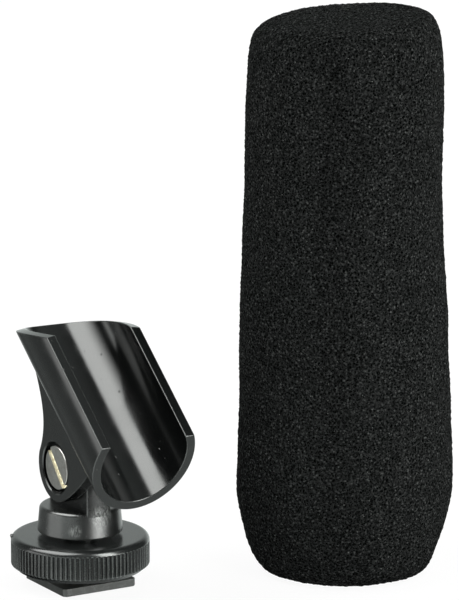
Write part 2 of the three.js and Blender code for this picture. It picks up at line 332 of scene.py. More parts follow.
@dataclass(frozen=True)
class Thread:
    """An outside screw thread, whose depth is a share of its pitch."""

    radius: float
    pitch: float
    columns: int = COARSE
    depth_share: float = 0.55
    rows_a_turn: int = 8
    flank_slope: float = 1.35
    crest_flat: float = 0.15

    def rod(self, name: str, low: float, high: float, matrix: Matrix | None = None) -> Piece:
        """A rod with this thread.

        Args:
            name: The piece's name.
            low: The rod's lower end.
            high: Its upper end.
            matrix: What turns and moves the mesh afterwards.

        Returns:
            The rod, chamfered at both ends.
        """
        depth = self.depth_share * self.pitch
        angles = np.linspace(0, math.tau, self.columns, endpoint=False)
        rows = round((high - low) / self.pitch * self.rows_a_turn)
        rings = [axis_point(low)]
        for level in np.linspace(low, high, rows + 1):
            phase = (level / self.pitch - angles / math.tau) % 1
            groove = np.clip(self.flank_slope * (1 - np.abs(2 * phase - 1)) - self.crest_flat, 0, 1)
            crest = min(self.radius, self.radius - depth + min(level - low, high - level))
            rings.append(level_ring(np.minimum(self.radius - depth * groove, crest), angles, level))
        skin = Skin()
        skin.loft([*rings, axis_point(high)])
        return skin.made(name, matrix)


def work(blank: Piece, tool: Piece, join: Join) -> Piece:
    """Adds, cuts or keeps what a tool covers, and removes the tool.

    Args:
        blank: The object that is changed.
        tool: The object that is put to it.
        join: What is done.

    Returns:
        The blank.
    """
    modifier = blank.modifiers.new(join.name, "BOOLEAN")
    modifier.operation = join.value
    modifier.solver = "EXACT"
    modifier.object = tool
    settle(blank)
    bpy.data.objects.remove(tool)
    return blank


def settle(blank: Piece) -> None:
    """Makes an object's modifiers part of its mesh."""
    shape = blank.evaluated_get(bpy.context.evaluated_depsgraph_get())
    mesh = bpy.data.meshes.new_from_object(shape)
    blank.modifiers.clear()
    blank.data = mesh


def broken(blank: Piece, width: float, angle: float, steps: int) -> Piece:
    """Rounds an object's sharp edges.

    Args:
        blank: The object.
        width: How far each round reaches from its edge.
        angle: The least turn in degrees that is rounded.
        steps: How many steps each round is cut in.

    Returns:
        The object.
    """
    bevel = blank.modifiers.new("edges", "BEVEL")
    bevel.width = width
    bevel.segments = steps
    bevel.limit_method = "ANGLE"
    bevel.angle_limit = math.radians(angle)
    bevel.use_clamp_overlap = True
    settle(blank)
    return blank


def polished(piece: Piece, crease: float = 38, weight: int = 90) -> Piece:
    """Shades an object smooth up to its creases, with its broad faces kept true.

    Args:
        piece: The object.
        crease: The least turn in degrees that stays a crease.
        weight: How much its broad faces rule the shading of the edges next to them, up to 100.

    Returns:
        The object.
    """
    piece.data.shade_smooth()
    piece.data.set_sharp_from_angle(angle=math.radians(crease))
    weighted = piece.modifiers.new("true_faces", "WEIGHTED_NORMAL")
    weighted.keep_sharp = True
    weighted.weight = weight
    return piece


class Bench:
    """Adds and links the nodes of one material, of a lamp or of the world."""

    least_speck = 0.02
    speck_core = 0.4
    rim_range = (0.92, 0.55)
    rim_rays = 8

    def __init__(self, owner: bpy.types.Material | bpy.types.World | bpy.types.Light) -> None:
        """Empties the owner's nodes. A material's places are measured in the piece's own metres."""
        owner.use_nodes = True
        self.owner = owner
        self.tree = owner.node_tree
        self.tree.nodes.clear()
        coordinates = self.add("ShaderNodeTexCoord").outputs
        self.place, self.way = coordinates["Object"], coordinates["Generated"]

    def add(self, kind: str, **settings: object) -> bpy.types.Node:
        """Adds a node with its settings."""
        node = self.tree.nodes.new(kind)
        for name, value in settings.items():
            setattr(node, name, value)
        return node

    def feed(self, socket: Socket, value: Value) -> None:
        """Links a socket, or sets it to a plain value."""
        if isinstance(value, bpy.types.NodeSocket):
            self.tree.links.new(value, socket)
        else:
            socket.default_value = value

    def fill(self, node: bpy.types.Node, **values: Value) -> bpy.types.Node:
        """Feeds a node's sockets by their names, with underscores for the spaces in them."""
        for name, value in values.items():
            self.feed(node.inputs[name.replace("_", " ")], value)
        return node

    def line_up(self, node: bpy.types.Node, *values: Value) -> bpy.types.Node:
        """Feeds a node's sockets in their order."""
        for socket, value in zip(node.inputs, values):
            self.feed(socket, value)
        return node

    def sum(self, operation: str, *values: Socket | float) -> Socket:
        """A sum on one to three values, kept between 0 and 1 where its name ends in a bang."""
        node = self.add("ShaderNodeMath", operation=operation.rstrip("!"), use_clamp=operation.endswith("!"))
        return self.line_up(node, *values).outputs[0]

    def vectors(self, operation: str, *values: Value) -> Socket:
        """A sum on vectors, which gives a number where it measures them."""
        node = self.line_up(self.add("ShaderNodeVectorMath", operation=operation), *values)
        return node.outputs["Value" if operation in ("DISTANCE", "DOT_PRODUCT") else "Vector"]

    def ease(self, value: Socket, low: float, high: float, start: float = 0, end: float = 1) -> Socket:
        """A value that goes smoothly from start to end as another goes from low to high."""
        node = self.add("ShaderNodeMapRange", interpolation_type="SMOOTHSTEP")
        return self.line_up(node, value, low, high, start, end).outputs[0]

    def stretched(self, scale: Sequence[float]) -> Socket:
        """The place with each axis scaled."""
        return self.fill(self.add("ShaderNodeMapping"), Vector=self.place, Scale=scale).outputs[0]

    def noise(
        self, size: float, detail: float = 2, place: Socket | None = None, rough: float = 0.5
    ) -> bpy.types.Node:
        """Soft noise, whose lumps have a size in metres."""
        node = self.add("ShaderNodeTexNoise")
        return self.fill(node, Vector=place or self.place, Scale=1 / size, Detail=detail, Roughness=rough)

    def cloud(
        self, size: float, detail: float = 2, place: Socket | None = None, rough: float = 0.5
    ) -> Socket:
        """Soft noise as a number between 0 and 1."""
        return self.noise(size, detail, place, rough).outputs["Fac"]

    def cells(self, size: float, place: Socket | None = None, feature: str = "F1") -> bpy.types.Node:
        """Voronoi cells of a size in metres."""
        node = self.add("ShaderNodeTexVoronoi", feature=feature)
        return self.fill(node, Vector=place or self.place, Scale=1 / size)

    def split(self, colour: Socket) -> Sequence[Socket]:
        """A colour's three parts."""
        return self.line_up(self.add("ShaderNodeSeparateColor"), colour).outputs

    def specks(self, spacing: float, radius: float, share: float) -> Socket:
        """Round specks, 1 in their middle.

        Args:
            spacing: The size in metres of the cells that each hold a speck or none.
            radius: The specks' radius in metres.
            share: The share of the cells that hold one.

        Returns:
            The mask.
        """
        cells = self.cells(spacing)
        picks = self.split(cells.outputs["Color"])
        held = self.sum("LESS_THAN", picks[0], share)
        reach = self.sum("MULTIPLY", picks[1], radius / spacing)
        near = self.sum("DIVIDE", cells.outputs["Distance"], self.sum("ADD", reach, self.least_speck))
        return self.sum("MULTIPLY", held, self.ease(near, 1, self.speck_core))

    def rims(self, reach: float) -> Socket:
        """A mask that is 1 on outward edges and fades out within a reach in metres of them."""
        within = self.add("ShaderNodeAmbientOcclusion", inside=True, only_local=True, samples=self.rim_rays)
        return self.ease(self.fill(within, Distance=reach).outputs["AO"], *self.rim_range)

    def between(self, share: Value, low: Value, high: Value) -> Socket:
        """A number between two."""
        node = self.add("ShaderNodeMix")
        return self.fill(node, Factor=share, A=low, B=high).outputs[0]

    def tint(self, share: Socket, low: Colour | Socket, high: Colour | Socket) -> Socket:
        """A colour between two."""
        node = self.add("ShaderNodeMix", data_type="RGBA")
        self.feed(node.inputs["Factor"], share)
        for socket, colour in zip(node.inputs[6:8], (low, high)):
            self.feed(socket, (*colour, 1) if isinstance(colour, tuple) else colour)
        return node.outputs[2]

    def relief(self, height: Socket, distance: float, under: Socket | None = None) -> Socket:
        """A bump whose height of 1 stands a distance in metres proud."""
        node = self.fill(self.add("ShaderNodeBump"), Strength=1, Distance=distance, Height=height)
        if under is not None:
            self.fill(node, Normal=under)
        return node.outputs[0]

    def principled(self, **inputs: Value) -> bpy.types.Material:
        """Ends the material in a Principled shader.

        Args:
            inputs: What goes in its sockets, with underscores for the spaces in their names.

        Returns:
            The material.
        """
        node = self.fill(self.add("ShaderNodeBsdfPrincipled"), **inputs)
        self.fill(self.add("ShaderNodeOutputMaterial"), Surface=node.outputs[0])
        return self.owner


@dataclass(frozen=True)
class MouldedPlastic:
    """A black moulding: its flow marks, moulding grain, pits, dust, smears and rubbed edges.

    Sizes are metres. The heights of its flow, grain and pits are microns, and its worn spots, each with a
    place and a reach, are millimetres. Its rubbed edges and worn spots are paler partly through real wear
    and partly as painted highlights on the rims and on the shining part of a satin face.
    """

    name: str
    colour: Colour
    # The pale colour of rubbed rims, scuffs and worn spots. On the rims and spots it is partly a painted
    # highlight.
    rubbed_and_highlit: Colour
    roughness: float
    smear: float
    grain: float
    pits: float
    scuffs: float
    shine: float = 0.5
    index: float = 1.52
    # Each spot is paled partly by scratches and partly by a painted highlight where lamps shine on the face.
    worn_and_highlit_spots: tuple[tuple[float, float, float, float], ...] = ()
    spot_core: float = 0.15
    rim_reach: float = 0.3 * MM
    rim_range: Point = (0.3, 0.75)
    rim_least: float = 0.35
    patch_size: float = 2.2 * MM
    patch_range: Point = (0.42, 0.66)
    fine_size: float = 0.32 * MM
    fine_range: Point = (0.35, 0.7)
    scratch_size: float = 0.45 * MM
    scratch_stretch: Triple = (1, 1, 0.4)
    scratch_range: Point = (0.44, 0.62)
    speck_spacing: float = 1.7 * MM
    pit_radius: float = 0.26 * MM
    pit_share: float = 0.6
    dust_radius: float = 0.07 * MM
    dust_share: float = 0.22
    dust_strength: float = 0.5
    smear_size: float = 7 * MM
    smear_stretch: Triple = (1, 0.35, 1)
    smear_range: Point = (0.35, 0.7)
    worn_dulling: float = 0.16
    flow_size: float = 1.6 * MM
    flow: float = 5
    grain_size: float = 0.22 * MM

    def handled_and_highlit(self, bench: Bench) -> Socket:
        """How pale the surface is at its worn spots: partly handling scratches, partly a painted highlight.
        """
        shares: Socket | float = 0.0
        for *spot, reach in self.worn_and_highlit_spots:
            away = bench.vectors("DISTANCE", bench.place, tuple(part * MM for part in spot))
            near = bench.ease(away, reach * MM, self.spot_core * reach * MM)
            shares = bench.sum("MAXIMUM", shares, near)
        along = bench.stretched(self.scratch_stretch)
        scratches = bench.cloud(self.scratch_size, detail=5, place=along, rough=0.8)
        return bench.sum("MULTIPLY", shares, bench.ease(scratches, *self.scratch_range))

    def wear_and_highlights(self, bench: Bench) -> Socket:
        """How pale the surface is: its rims and worn spots, partly wear and partly painted highlight, and its
        scuffed patches.
        """
        patches = bench.ease(bench.cloud(self.patch_size, detail=4, rough=0.65), *self.patch_range)
        fine = bench.cloud(self.fine_size, detail=3, rough=0.7)
        scuffed = bench.sum("MULTIPLY", patches, self.scuffs)
        scuff = bench.sum("MULTIPLY", scuffed, bench.ease(fine, *self.fine_range))
        broken_up = bench.ease(fine, *self.rim_range, self.rim_least, 1)
        worn_and_highlit = bench.sum("MULTIPLY_ADD!", bench.rims(self.rim_reach), broken_up, scuff)
        return bench.sum("ADD!", worn_and_highlit, self.handled_and_highlit(bench)) if self.worn_and_highlit_spots else worn_and_highlit

    def material(self) -> bpy.types.Material:
        """The finish as a material."""
        bench = Bench(bpy.data.materials.new(self.name))
        worn_and_highlit = self.wear_and_highlights(bench)
        pits = bench.specks(self.speck_spacing, self.pit_radius, self.pit_share)
        dust = bench.specks(self.speck_spacing, self.dust_radius, self.dust_share)
        # Paler with wear, dust and the painted highlights on the rims and worn spots.
        pale = bench.sum("ADD!", worn_and_highlit, bench.sum("MULTIPLY", dust, self.dust_strength))
        streaks = bench.cloud(self.smear_size, detail=3, place=bench.stretched(self.smear_stretch))
        smears = bench.ease(streaks, *self.smear_range, 0, self.smear)
        dull = bench.sum("ADD", smears, bench.sum("MULTIPLY", worn_and_highlit, self.worn_dulling))
        flow = bench.relief(bench.cloud(self.flow_size), self.flow * MICRON)
        grain = bench.relief(bench.cloud(self.grain_size), self.grain * MICRON, flow)
        return bench.principled(
            Base_Color=bench.tint(pale, self.colour, self.rubbed_and_highlit),
            Roughness=bench.sum("ADD!", dull, self.roughness),
            IOR=self.index,
            Normal=bench.relief(bench.sum("MULTIPLY", pits, -1), self.pits * MICRON, grain),
            Specular_IOR_Level=self.shine,
        )


@dataclass(frozen=True)
class PlatedMetal:
    """Turned metal under a dull plate. Sizes are metres, but the height of its grain is microns."""

    name: str
    colour: Colour
    stained: Colour
    roughness: float
    grain: float
    stain_size: float = 1.1 * MM
    stain_range: Point = (0.38, 0.68)
    freckle_spacing: float = 0.9 * MM
    freckle_radius: float = 0.12 * MM
    freckle_share: float = 0.5
    freckle_strength: float = 0.6
    dull_size: float = 0.4 * MM
    dull_range: Point = (0.3, 0.7)
    glossier: float = 0.06
    duller: float = 0.1
    drawn_size: float = 0.12 * MM
    drawn_stretch: Triple = (1, 0.12, 1)

    def material(self) -> bpy.types.Material:
        """The finish as a material."""
        bench = Bench(bpy.data.materials.new(self.name))
        stains = bench.ease(bench.cloud(self.stain_size, detail=5, rough=0.7), *self.stain_range)
        freckles = bench.specks(self.freckle_spacing, self.freckle_radius, self.freckle_share)
        marks = bench.sum("ADD!", stains, bench.sum("MULTIPLY", freckles, self.freckle_strength))
        least, most = self.roughness - self.glossier, self.roughness + self.duller
        drawn = bench.cloud(self.drawn_size, place=bench.stretched(self.drawn_stretch))
        return bench.principled(
            Base_Color=bench.tint(marks, self.colour, self.stained),
            Roughness=bench.ease(bench.cloud(self.dull_size, detail=3), *self.dull_range, least, most),
            Metallic=1.0,
            Normal=bench.relief(drawn, self.grain * MICRON),
        )


@dataclass(frozen=True)
class OpenCellFoam:
    """Charcoal foam: fine struts between pores whose near-black colour is painted shade, and specks that are
    partly fibres and partly painted glints. Sizes are metres.
    """

    name: str = "open_cell_foam"
    # Painted shade: the pores' near-black colour stands for the shade deep in the foam's hollows.
    pore: Colour = (0.0006, 0.0008, 0.0008)
    strut: Colour = (0.1, 0.104, 0.102)
    # Specks, partly pale fibres and partly painted glints on the struts.
    bright: Colour = (0.4, 0.41, 0.4)
    roughness: float = 0.95
    cell: float = 0.85 * MM
    small_cell_share: float = 0.6
    small_cell_weight: float = 1.5
    wall: float = 0.2
    wall_strength: float = 0.4
    warp_size: float = 0.5 * MM
    warp_reach: float = 0.3 * MM
    patch_size: float = 0.6 * MM
    patch_range: Point = (0.35, 0.7)
    patch_least: float = 0.2
    knot: float = 0.68 * MM
    knot_range: Point = (0.5, 0.12)
    knot_least: float = 0.1
    knot_spread: float = 0.85
    glint_spacing: float = 0.95 * MM
    glint_radius: float = 0.13 * MM
    glint_share: float = 0.5
    glint_strength: float = 0.6
    relief: float = 0.2 * MM

    def knots(self, bench: Bench, place: Socket) -> Socket:
        """The strut crossings, each with its own brightness."""
        cells = bench.cells(self.knot, place)
        pick = bench.split(cells.outputs["Color"])[0]
        bright = bench.sum("MULTIPLY_ADD", pick, self.knot_spread, self.knot_least)
        return bench.sum("MULTIPLY", bench.ease(cells.outputs["Distance"], *self.knot_range), bright)

    def walls(self, bench: Bench, place: Socket) -> Socket:
        """The walls between the large and the small cells."""
        big, small = (
            bench.cells(size, place, "DISTANCE_TO_EDGE").outputs["Distance"]
            for size in (self.cell, self.small_cell_share * self.cell)
        )
        nearest = bench.sum("MINIMUM", big, bench.sum("MULTIPLY", small, self.small_cell_weight))
        return bench.ease(nearest, self.wall, 0.0)

    def material(self) -> bpy.types.Material:
        """The finish as a material."""
        bench = Bench(bpy.data.materials.new(self.name))
        warp = bench.noise(self.warp_size).outputs["Color"]
        place = bench.vectors("MULTIPLY_ADD", warp, (self.warp_reach,) * 3, bench.place)
        patches = bench.cloud(self.patch_size, rough=0.7)
        patchy = bench.ease(patches, *self.patch_range, self.patch_least, 1)
        walls, knots = self.walls(bench, place), self.knots(bench, place)
        strut = bench.sum("MULTIPLY!", bench.sum("MULTIPLY_ADD", walls, self.wall_strength, knots), patchy)
        # Specks that are partly fibres and partly painted glints.
        glint = bench.specks(self.glint_spacing, self.glint_radius, self.glint_share)
        # Painted shade: the pores between the struts take the near-black pore colour.
        shade = bench.tint(strut, self.pore, self.strut)
        return bench.principled(
            Base_Color=bench.tint(bench.sum("MULTIPLY", glint, self.glint_strength), shade, self.bright),
            Roughness=self.roughness,
            Normal=bench.relief(strut, self.relief),
            Specular_IOR_Level=0.0,
        )


# The rubbed colour is partly wear and partly painted highlight: along the clip's lips, on the knurl's crests
# and on the collar's shining spots.
GLOSS = MouldedPlastic(
    name="gloss_black_moulding",
    colour=(0.0034, 0.0039, 0.0038),
    rubbed_and_highlit=(0.27, 0.285, 0.275),
    roughness=0.13,
    smear=0.08,
    grain=1.2,
    pits=60,
    scuffs=0.006,
)
WHEEL_GLOSS = MouldedPlastic(
    name="thumbwheel_moulding",
    colour=(0.01, 0.0112, 0.011),
    rubbed_and_highlit=(0.19, 0.2, 0.195),
    roughness=0.2,
    smear=0.06,
    grain=1.6,
    pits=10,
    scuffs=0.03,
)
SATIN = MouldedPlastic(
    name="scuffed_satin_moulding",
    colour=(0.005, 0.0055, 0.0053),
    rubbed_and_highlit=(0.3, 0.315, 0.303),
    roughness=0.26,
    smear=0.05,
    grain=3,
    pits=20,
    scuffs=0.06,
    shine=0.8,
    # Painted highlight, partly real scratches: the collar's front streak and its left patch.
    worn_and_highlit_spots=((0.5, -9.4, 17.1, 3.6), (-5.6, -7.6, 14.4, 2)),
)
WORN_SATIN = MouldedPlastic(
    name="worn_satin_moulding",
    colour=(0.03, 0.032, 0.03),
    rubbed_and_highlit=(0.12, 0.125, 0.12),
    roughness=0.36,
    smear=0.1,
    grain=5,
    pits=20,
    scuffs=0.7,
    shine=0.45,
)
NICKEL = PlatedMetal("dull_nickel", (0.39, 0.38, 0.365), (0.3, 0.29, 0.275), 0.34, 0.8)
STEEL = PlatedMetal("zinc_steel", (0.5, 0.51, 0.51), (0.3, 0.305, 0.3), 0.3, 1.5)
BRASS = PlatedMetal("bare_brass", (0.71, 0.685, 0.58), (0.52, 0.47, 0.36), 0.46, 1.8)
FOAM = OpenCellFoam()


def dressed(piece: Piece, body: str, node: str, slot: Slot, *finishes: bpy.types.Material) -> Piece:
    """Gives a piece its finish, its CAD body and the node that it stands for.

    Args:
        piece: The finished mesh.
        body: The CAD body that it rides on.
        node: The CAD node that it replaces.
        slot: The record's slot that its finish belongs to. It is not used.
        finishes: Its materials, the main one first.

    Returns:
        The piece.
    """
    piece.data.materials.clear()
    for finish in finishes:
        piece.data.materials.append(finish)
    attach(piece, body)
    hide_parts(node)
    return piece


@dataclass
class ShoeFoot:
    """The square plate that slides into the camera's accessory shoe."""

    bevel: float = 0.7 * MM
    corner_round: float = 0.2 * MM
    corner_steps: int = 3
    edge: float = 0.14 * MM
    rivet_hole: float = 3.3 * MM
    countersink: float = 0.6 * MM

    def build(self) -> list[Piece]:
        """Makes the foot with its countersunk hole."""
        low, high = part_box("shoe_foot")
        half = high.x
        flat = half - self.bevel
        quarter = [(half, -flat), (half, flat), (flat, half), (-flat, half)]
        corners = quarter + [(-x, -y) for x, y in quarter]
        outline = eased([(x, y, self.corner_round) for x, y in corners], self.corner_steps)
        foot = plate("foot_plate", outline, low.z, high.z, self.edge)
        hole = turned("rivet_hole", [
            (self.rivet_hole + self.countersink + OVERRUN, low.z - OVERRUN),
            (self.rivet_hole, low.z + self.countersink),
            (self.rivet_hole, high.z + OVERRUN),
        ], COARSE)
        work(foot, hole, Join.CUT)
        return [dressed(polished(foot), "mount", "shoe_foot", Slot.SATIN, WORN_SATIN.material())]


@dataclass
class ThreadedStud:
    """The steel stud between the foot and the pivot base."""

    rivet: float = 3 * MM
    flare: float = 0.6 * MM
    radius: float = 4 * MM
    pitch: float = 1.25 * MM
    head: float = 5 * MM
    head_edge: float = 0.25 * MM

    def build(self) -> list[Piece]:
        """Makes the stud's rivet, thread and head."""
        low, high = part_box("threaded_stud")
        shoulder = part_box("shoe_foot")[1].z + CLEARANCE
        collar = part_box("pivot_base")[0].z
        stud = Thread(self.radius, self.pitch).rod("stud", shoulder, collar + OVERRUN)
        rivet = turned("rivet", [
            (self.rivet + self.flare, low.z),
            (self.rivet, low.z + self.flare),
            (self.rivet, shoulder + OVERRUN),
        ], COARSE)
        head = turned("head", chamfered(self.head, collar, high.z, self.head_edge, self.head_edge), COARSE)
        work(stud, rivet, Join.ADD)
        work(stud, head, Join.ADD)
        return [dressed(polished(stud), "mount", "threaded_stud", Slot.STEEL, STEEL.material())]


@dataclass
class Thumbwheel:
    """The knurled locking wheel and the brass bush moulded into it."""

    ridges: int = 90
    columns_a_ridge: int = 12
    depth: float = 0.5 * MM
    crest_share: float = 0.42
    flank_share: float = 0.16
    crest_ease: float = 0.07 * MM
    root_ease: float = 0.05 * MM
    crest_corner: float = 0.14
    root_corner: float = 0.04
    top_radius: float = 14.3 * MM
    foot_radius: float = 14.3 * MM
    core_radius: float = 14.89 * MM
    chamfer_rise: float = 1.05 * MM
    shoulder_drop: float = 1.3 * MM
    ridge_chamfer: float = 0.22 * MM
    groove_end: float = 0.12 * MM
    chamfer_cut: float = 0.9
    end_cut: float = 0.1
    crease: float = 28
    bore: float = 4.3 * MM
    bush_wall: float = 1.6 * MM
    roof: float = 0.75 * MM
    nub_side: float = math.radians(149.5)
    nub_height: float = 0.5 * MM
    nub_radius: float = 0.42 * MM
    shoulder_steps: int = 10

    def groove(self, columns: int) -> np.ndarray:
        """How deep the knurling is cut at each column, from 0 on a crest to 1 in a root."""
        crest, flank = self.crest_share, self.flank_share
        eased_crest, eased_root = self.crest_ease / self.depth, 1 - self.root_ease / self.depth
        flat, hollow = self.crest_corner * crest, self.root_corner
        shares = [0, flat, crest - flat, crest, crest + flank / 2, crest + flank]
        cuts = [eased_crest, 0, 0, eased_crest, 0.5, eased_root]
        shares += [crest + flank + hollow, 1 - hollow - flank, 1 - flank, 1 - flank / 2, 1]
        cuts += [1, 1, eased_root, 0.5, eased_crest]
        share = (np.arange(columns) / self.columns_a_ridge) % 1
        return np.interp(share, shares, cuts)

    def rows(self, low: float, high: float, rim: float) -> list[Triple]:
        """The wheel's section.

        Args:
            low: Its underside.
            high: Its top.
            rim: Its radius over the ridges.

        Returns:
            Each row's radius, height and share of the knurling's depth, anticlockwise from the bush's socket.
        """
        knurl_low, knurl_high = low + self.chamfer_rise, high - self.shoulder_drop
        socket = self.bore + self.bush_wall + CLEARANCE
        shoulder = sweep([
            (rim, knurl_high),
            (rim, (knurl_high + high) / 2),
            ((rim + self.top_radius) / 2, high),
            (self.top_radius, high),
        ], self.shoulder_steps)
        edge = self.ridge_chamfer
        return [
            (socket, low, 0),
            (self.foot_radius - 2 * edge, low, 0),
            (self.foot_radius - edge / 2, low + edge / 4, 0),
            (self.foot_radius, low + edge / 2, 0),
            (self.core_radius - edge / 4, knurl_low - edge / 2, 0),
            (self.core_radius, knurl_low - edge / 4, 0),
            (self.core_radius, knurl_low, 0),
            (rim - edge, knurl_low, self.chamfer_cut),
            (rim - edge / 3, knurl_low + edge / 3, 1),
            (rim, knurl_low + edge, 1),
            (rim, (knurl_low + knurl_high) / 2, 1),
            (rim, knurl_high - self.groove_end, 1),
            (rim, knurl_high - self.groove_end / 4, self.end_cut),
            (rim, knurl_high, 0),
            *[(radius, level, 0.0) for radius, level in shoulder],
            (self.top_radius - 4 * edge, high, 0),
            (self.bore + 4 * edge, high, 0),
            (self.bore + edge, high, 0),
            (self.bore, high - edge, 0),
            (self.bore, high - self.roof, 0),
            (socket, high - self.roof, 0),
        ]

    def nub(self, points: np.ndarray, rim: float, high: float) -> np.ndarray:
        """Raises the trace of the moulding gate on the wheel's shoulder."""
        way = np.array([math.cos(self.nub_side), math.sin(self.nub_side), 0])
        centre = way * (rim - self.shoulder_drop / 4) + np.array([0, 0, high - self.shoulder_drop / 2])
        apart = np.linalg.norm(points - centre, axis=1) / self.nub_radius
        rise = self.nub_height * np.exp(-(apart**4))
        return points + rise[:, None] * (way + np.array([0, 0, 1])) / math.sqrt(2)

    def wheel(self) -> Piece:
        """Makes the wheel as one grid."""
        low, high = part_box("thumbwheel")
        columns = self.ridges * self.columns_a_ridge
        angles = np.arange(columns) / columns * math.tau
        cut = self.groove(columns) * self.depth
        rings = []
        for radius, level, share in self.rows(low.z, high.z, high.x):
            rings.append(self.nub(level_ring(radius - cut * share, angles, level), high.x, high.z))
        skin = Skin()
        skin.loft(rings, around=True)
        return skin.made("knurled_wheel")

    def bush(self) -> Piece:
        """Makes the brass bush with chamfered mouths."""
        low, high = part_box("thumbwheel_insert")
        mouth = self.bush_wall / 4
        outside = chamfered(self.bore + self.bush_wall, low.z, high.z, mouth / 2, mouth / 2)
        return turned("brass_bush", [
            (self.bore + mouth, low.z),
            *outside,
            (self.bore + mouth, high.z),
            (self.bore, high.z - mouth),
            (self.bore, low.z + mouth),
        ], MIDDLING, hollow=True)

    def build(self) -> list[Piece]:
        """Makes the wheel and its bush."""
        wheel = polished(self.wheel(), self.crease)
        bush = polished(self.bush())
        return [
            dressed(wheel, "wheel", "thumbwheel", Slot.GLOSS, WHEEL_GLOSS.material()),
            dressed(bush, "wheel", "thumbwheel_insert", Slot.BRASS, BRASS.material()),
        ]


@dataclass(frozen=True)
class Pivot:
    """What the tongue, the clip, the screw and the nut share."""

    tilt: float = math.radians(38.65)
    bore: float = 2.8 * MM
    nut_across: float = 8 * MM

    def nut_corner(self) -> float:
        """How far the nut's corners are from its middle."""
        return self.nut_across / math.sqrt(3)

    def place(self) -> Matrix:
        """What sets a piece that is drawn at the origin on the pivot, at the clip's tilt."""
        return Matrix.Translation(joint_place("clip_tilt")) @ Matrix.Rotation(self.tilt, 4, "X")


PIVOT = Pivot()


@dataclass
class PivotBase:
    """The tapered collar and the tongue that the clip's ears straddle."""

    height: float = 5.96 * MM
    top_radius: float = 9.18 * MM
    side_end: float = 0.9 * MM
    top_round: float = 0.882 * MM
    foot_round: float = 0.3 * MM
    round_steps: int = 8
    tongue: float = 6 * MM
    tongue_edge: float = 0.32 * MM
    tongue_edge_steps: int = 4
    least_corner: float = 30
    socket: float = 5.3 * MM
    socket_depth: float = 4.7 * MM
    columns: int = 160

    def collar(self, low: float, bottom_radius: float) -> Piece:
        """Turns the collar, with the socket for the stud's head."""
        top = low + self.height
        outside = eased([
            (self.socket, low, 0),
            (bottom_radius, low, self.foot_round),
            (self.top_radius, top - self.side_end, 0),
            (self.top_radius, top, self.top_round),
            (0, top, 0),
        ], self.round_steps)
        profile = [(self.socket, low + self.socket_depth), *outside[:-1]]
        return turned("pivot_base_moulding", profile, self.columns)

    def tongue_slab(self, low: float, pivot: float) -> Piece:
        """Makes the tongue, flush with the collar all round."""
        radius = self.top_radius
        side = [(-radius, low), (radius, low), *arc((0, pivot), radius, 0, math.pi, COARSE)]
        slab = plate("tongue", side, -self.tongue / 2, self.tongue / 2, matrix=SIDEWAYS)
        limit = plate("limit", polygon(radius, self.columns), low - OVERRUN, pivot + 2 * radius)
        work(slab, limit, Join.KEEP)
        return broken(slab, self.tongue_edge, self.least_corner, self.tongue_edge_steps)

    def build(self) -> list[Piece]:
        """Makes the pivot base."""
        low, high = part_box("pivot_base")
        pivot = joint_place("clip_tilt").z
        base = self.collar(low.z, high.x)
        work(base, self.tongue_slab(low.z + self.height - self.side_end, pivot), Join.ADD)
        reach = self.tongue / 2 + OVERRUN
        bore = plate("bore", polygon(PIVOT.bore, COARSE), -reach, reach, matrix=ALONG_X)
        bore.data.transform(Matrix.Translation((0, 0, pivot)))
        work(base, bore, Join.CUT)
        return [dressed(polished(base), "mount", "pivot_base", Slot.SATIN, SATIN.material())]


